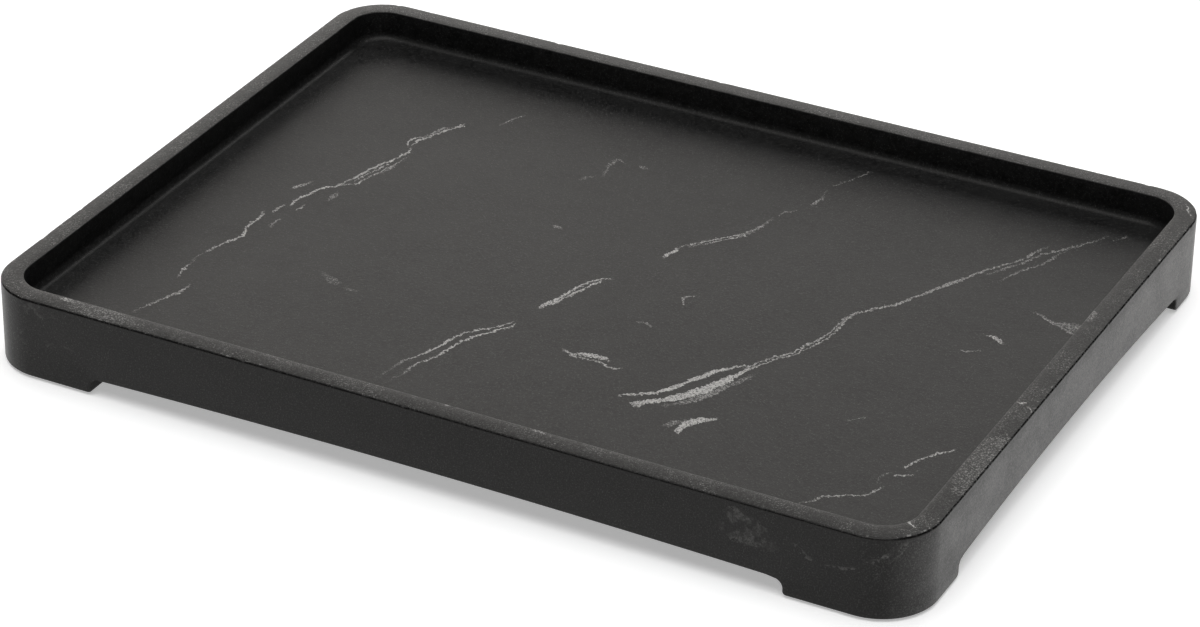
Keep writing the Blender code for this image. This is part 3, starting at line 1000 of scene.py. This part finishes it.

# %% [markdown]
# ## Where each finish lies
# Honed black marble isn't one even black. Its floor is smooth, its rim is rubbed light and
# speckled, and its walls are sawn. Its walls also get painted shade, and its outer edge gets a
# painted dark line of shade and a lower roughness. Each could have a material of its own, but
# their borders would be hard lines. One material with soft masks suits a single block better. The
# masks come from the height and from the distance to the rounded outline, and the noises run from
# clouds of 45 mm down to crystals of under 1 mm.

# %% Noises and masks of the marble
FLOOR_HEIGHT = FLOOR / MM
RIM_HEIGHT = TOP / MM
ROUNDING = CORNER_RADIUS / MM
POCKET_EDGE = RIM_WIDTH / MM
HALF_LENGTH = LENGTH / 2 / MM
HALF_WIDTH = WIDTH / 2 / MM

marble = Finish("honed_black_marble")
slow = marble.three_noises(4.5)
fine = marble.three_noises(1.5, roughness=0.6)
crystal = marble.noise(0.62, detail=3.0, roughness=0.75)
grit = marble.noise(1.25, detail=1.0, roughness=0.6)
patch = marble.noise(14.0, detail=4.0, roughness=0.6)
cloud = marble.noise(45.0, detail=3.0)

beyond_x = abs(marble.x) - (HALF_LENGTH - ROUNDING)
beyond_y = abs(marble.y) - (HALF_WIDTH - ROUNDING)
round_x, round_y = beyond_x.larger(0.0), beyond_y.larger(0.0)
corner_reach = (round_x * round_x + round_y * round_y).root()
from_edge = ROUNDING - corner_reach - beyond_x.larger(beyond_y).smaller(0.0)
on_top = marble.z.ramp(RIM_HEIGHT - 0.9, RIM_HEIGHT - 0.3)
on_rim = on_top * from_edge.ramp(POCKET_EDGE + 0.2, POCKET_EDGE - 0.6)
on_wall = from_edge.ramp(0.6, 0.05)
# The band along the outer edge gets painted shade: it is darkened in colour, and its roughness is
# also lowered.
edge_shade_band = from_edge.ramp(0.70, 0.50) * marble.z.ramp(RIM_HEIGHT - 1.3, RIM_HEIGHT - 1.0)
edge_shade_band = edge_shade_band * fine[0].ramp(0.36, 0.50, low=0.5)
chip_row = from_edge.ramp(0.4, 0.6) * from_edge.ramp(1.8, 1.0) * on_top
worn_corner = marble.x.ramp(168.0, 182.0) * marble.y.ramp(-124.0, -134.0)
print("marble knows its rim, its walls and its outer edge")

# %% [markdown]
# ## White veins
# Calcite sheets slant through the block, so a vein on the floor comes out on the wall a little
# further on. Their borders are frayed, and they are made of separate grains. A plain line with a
# soft border would look drawn. So the place is shaken by a slow and a fine noise before the routes
# are asked, and the grains are then cut out of the veins with the crystal noise.

# %% Cover the marble with its veins
SHEET_LEAN = 0.7
SLOW_SHAKE = 2.6
FINE_SHAKE = 3.2
GRAIN_CONTRAST = 1.15
GRAIN_CUT = 1.08
WHITE_BETWEEN_GRAINS = 0.12

drop = (marble.z - FLOOR_HEIGHT) * SHEET_LEAN
shake, cross_shake = (
    (slow[channel] - 0.5) * SLOW_SHAKE + (fine[channel] - 0.5) * FINE_SHAKE for channel in (0, 1)
)
along_x = marble.x + shake
across_y = marble.y + cross_shake
swell = 0.30 + fine[2] * 0.45 + crystal * 0.75
white = cover(marble, floor_veins, across_y + drop, along_x - drop, swell)
white = white.larger(cover(marble, VEINS_ALONG.values(), along_x - drop, across_y + drop, swell))
white = white * (1.0 - on_wall)
white = white.larger(cover(marble, RIM_MARKS, along_x, across_y, swell) * on_rim)
grains = (crystal * 0.85 + grit * 0.15).ramp(0.35, 0.62)
whole_grains = (white + grains) * GRAIN_CONTRAST - GRAIN_CUT
white = whole_grains.larger(white * WHITE_BETWEEN_GRAINS)

along_y = marble.y + shake
up_z = marble.z + cross_shake
walls = {  # the way along each wall, and how near a point is to it
    "front": (along_x, marble.y.ramp(10.0 - HALF_WIDTH, 4.0 - HALF_WIDTH)),
    "back": (along_x, marble.y.ramp(HALF_WIDTH - 10.0, HALF_WIDTH - 4.0)),
    "left": (along_y, marble.x.ramp(6.0 - HALF_LENGTH, 2.0 - HALF_LENGTH)),
    "right": (along_y, marble.x.ramp(HALF_LENGTH - 6.0, HALF_LENGTH - 2.0)),
}
smudge = largest(
    cover(marble, WALL_MARKS[side], along, up_z, swell) * here
    for side, (along, here) in walls.items()
)
smudge = smudge * slow[2].ramp(0.44, 0.58, low=0.15) * fine[1].ramp(0.40, 0.60, low=0.4)
print("veins and smudges use", len(marble.tree.nodes), "nodes so far")

# %% [markdown]
# ## Specks, chips and the dark ground
# Between the veins the stone has white specks, and the rim is ground to a pale, worm-like grain
# with bright chips along its outer edge. Painting each speck would take for ever, so noises place
# them, and the palest mark at each point wins. The ground under them is nearly black and shows
# grit, blotches and broad clouds. The walls and the outer edge are painted blacker still, as
# painted shade.

# %% Light marks and dark ground
CALCITE = (0.48, 0.472, 0.458, 1)
DEEP_BLACK = (0.0022, 0.0023, 0.0024, 1)
BLACK_GRIT = (0.0108, 0.0109, 0.0110, 1)
GREY_CLOUD = (0.0130, 0.0131, 0.0130, 1)
GREY_BLOTCH = (0.0125, 0.0125, 0.0124, 1)
# painted shade: the outer walls are painted darker than the rest of the stone
PAINTED_WALL_SHADE = (0.0035, 0.0036, 0.0038, 1)
# painted shade: the dark line along the outer edge
PAINTED_EDGE_SHADE = (0.0030, 0.0030, 0.0030, 1)

speck = crystal.ramp(0.57, 0.70) * slow[2].ramp(0.46, 0.60, low=0.2)
rim_speck = crystal.ramp(0.54, 0.66) * patch.ramp(0.42, 0.58, low=0.35, high=0.85)
worms = fine[2].ramp(0.44, 0.62) * patch.ramp(0.40, 0.62, low=0.5)
frost = from_edge.ramp(POCKET_EDGE - 1.0, POCKET_EDGE - 0.4) * slow[0].ramp(0.42, 0.62)
chips = (slow[2] + worn_corner * 0.10).ramp(0.60, 0.66) * fine[1].ramp(0.50, 0.58)
light_marks = (
    on_rim * rim_speck * 0.42,
    on_rim * worms * 0.040,
    on_rim * frost * 0.07,
    on_wall * crystal.ramp(0.46, 0.66) * 0.045,
    on_wall * speck * 0.15,
    on_wall * smudge * (0.07 + grains * 0.21),
    speck * 0.09,
    chip_row * chips * 0.40,
)
# The light marks are dimmed in the edge band too, as part of its painted shade.
light_share = largest((white, *light_marks)) * (1.0 - edge_shade_band * 0.8)

dark_stone = marble.mix(grit.ramp(0.38, 0.64), DEEP_BLACK, BLACK_GRIT)
# The last two mixes paint shade: the walls darker, and a dark line along the outer edge.
for share, colour in (
    (patch.ramp(0.38, 0.66) * 0.5, GREY_CLOUD),
    (slow[2].ramp(0.35, 0.65) * 0.4, GREY_BLOTCH),
    (on_wall * 0.5, PAINTED_WALL_SHADE),
    (edge_shade_band, PAINTED_EDGE_SHADE),
):
    dark_stone = marble.mix(share, dark_stone, colour)
marble.set("Base Color", marble.mix(light_share.held(), dark_stone, CALCITE))
print(len(light_marks), "kinds of light mark beside the veins")

# %% [markdown]
# ## Sheen
# Honed stone is rubbed with fine grit and never polished, so it has a soft grey sheen and no
# mirror. A middling roughness gives it, and a small bump of crystals breaks it up. The two short
# walls were sawn lengthwise and keep a sandy bloom, which is a thin rough coat that follows a
# streaky noise. Raising the roughness alone would make them darker, not paler.

# %% Gloss, bloom and grain of the marble
STREAK_TURN = (0.6, 0.0, 0.0)
STREAK_STRETCH = (1.0, 0.16, 1.0)

marble.set("Roughness", 0.375 + cloud * 0.06 + grit * 0.09 - edge_shade_band * 0.20)
marble.set("IOR", 1.30)
marble.set("Specular Tint", (1.0, 0.98, 0.95, 1))
on_side = on_wall * abs(marble.x).ramp(HALF_LENGTH - 14.0, HALF_LENGTH - 3.0) * (1.0 - edge_shade_band)
stretch = {"Vector": marble.place, "Rotation": STREAK_TURN, "Scale": STREAK_STRETCH}
stretched = marble.make("ShaderNodeMapping", {}, stretch)
bloom = 0.03 + 0.24 * marble.noise(2.4, detail=3.0, roughness=0.65, place=stretched)
bloom = bloom + patch.ramp(0.36, 0.64, high=0.15) + crystal.ramp(0.32, 0.68, high=0.34)
less_on_top = marble.z.ramp(RIM_HEIGHT - 6.0, RIM_HEIGHT - 1.0, low=1.0, high=0.7)
marble.set("Coat Weight", on_side * bloom * less_on_top)
marble.set("Coat Roughness", 0.38)
marble.set("Coat Tint", (1.0, 0.98, 0.955, 1))
marble.bump(crystal * 0.7 + grit, 0.045 * MM)
tray_stone.data.materials.append(marble.material)
print("marble uses", len(marble.tree.nodes), "nodes")

# %% [markdown]
# ## The rubber's finish
# The pads are matt black rubber with a faint bloom of dust and a fine grain. A flat black would
# look like a hole, so one noise lays the dust and a finer one gives the grain as a small bump.

# %% Matt rubber
def grey(value):
    """An even grey as a colour."""
    return (value, value, value, 1.0)


rubber = Finish("matt_black_rubber")
dust = rubber.noise(2.0, detail=3.0, roughness=0.6)
rubber.set("Base Color", rubber.mix(dust, grey(0.014), grey(0.028)))
rubber.set("Roughness", 0.85)
rubber.bump(rubber.noise(0.35), 0.05 * MM, strength=0.4)
for pad in pads:
    pad.data.materials.append(rubber.material)
print("rubber uses", len(rubber.tree.nodes), "nodes")

# %% [markdown]
# ## Floor and light
# The tray stands on a very wide pale disc, turned like the pads. A plane would do for one camera,
# but the disc's rim curls up, so that the floor also fills the view from low down. It is matt, and
# a small glow that only the camera, reflections and clear things see lifts it to white without
# more light on the stone. Large lamps near the tray would light its two ends differently, so three
# wide suns stand for them. A low, warm one at the back left lays the grey sheen on the stone. A
# high one lays the soft shadow. A narrow one at the back draws the bright line along the foot of
# the pocket's wall.

# %% A wide pale floor
FLOOR_PROFILE = ((0.0, 0.0), (5.2, 0.0), (6.0, 0.03), (6.6, 0.16), (7.0, 0.60))
FLOOR_STEPS = 96
PAPER_WHITE = 0.92
PAPER_GLOW = 0.39

floor = placed("pale_floor", mesh_of("pale_floor", turned(FLOOR_PROFILE, FLOOR_STEPS)))

paper = Finish("pale_paper")
rays = paper.make("ShaderNodeLightPath", {}, {}).socket.node.outputs
camera_ray, glossy_ray, clear_ray = (
    Wire(paper, rays[name]) for name in ("Is Camera Ray", "Is Glossy Ray", "Is Transmission Ray")
)
paper.set("Base Color", grey(PAPER_WHITE))
paper.set("Roughness", 1.0)
paper.set("Specular IOR Level", 0.0)
paper.set("Emission Color", (camera_ray + glossy_ray + clear_ray).held())
paper.set("Emission Strength", PAPER_GLOW)
floor.data.materials.append(paper.material)
print("floor is", round(2 * FLOOR_PROFILE[-1][0], 1), "m across")

# %% Three soft lights and a dim room
LIGHTS = {
    # name: strength, then in degrees its width, its height above the back of the floor (over 90
    # is on the near side) and its turn to the left, and its colour
    "low_back_left": (2.0, 66, 3, 40, (1.0, 0.968, 0.932)),
    "high_key": (2.05, 58, 99, 20, (1.0, 1.0, 1.0)),
    "back_strip": (0.42, 20, 42, 3, (1.0, 1.0, 1.0)),
}
ROOM_GREY = 0.06

for light_name, (strength, spread, rise, turn, colour) in LIGHTS.items():
    light_data = bpy.data.lights.new(light_name, "SUN")
    light_data.energy = strength
    light_data.angle = math.radians(spread)
    light_data.color = colour
    light = placed(light_name, light_data)
    light.rotation_euler = Euler([math.radians(angle) for angle in (rise - 90, 0, turn)])

world = bpy.data.worlds.new("dim_room")
world.use_nodes = True
world.node_tree.nodes["Background"].inputs["Color"].default_value = grey(ROOM_GREY)
bpy.context.scene.world = world
bpy.context.scene.view_settings.view_transform = "Standard"
print(len(LIGHTS), "lights")
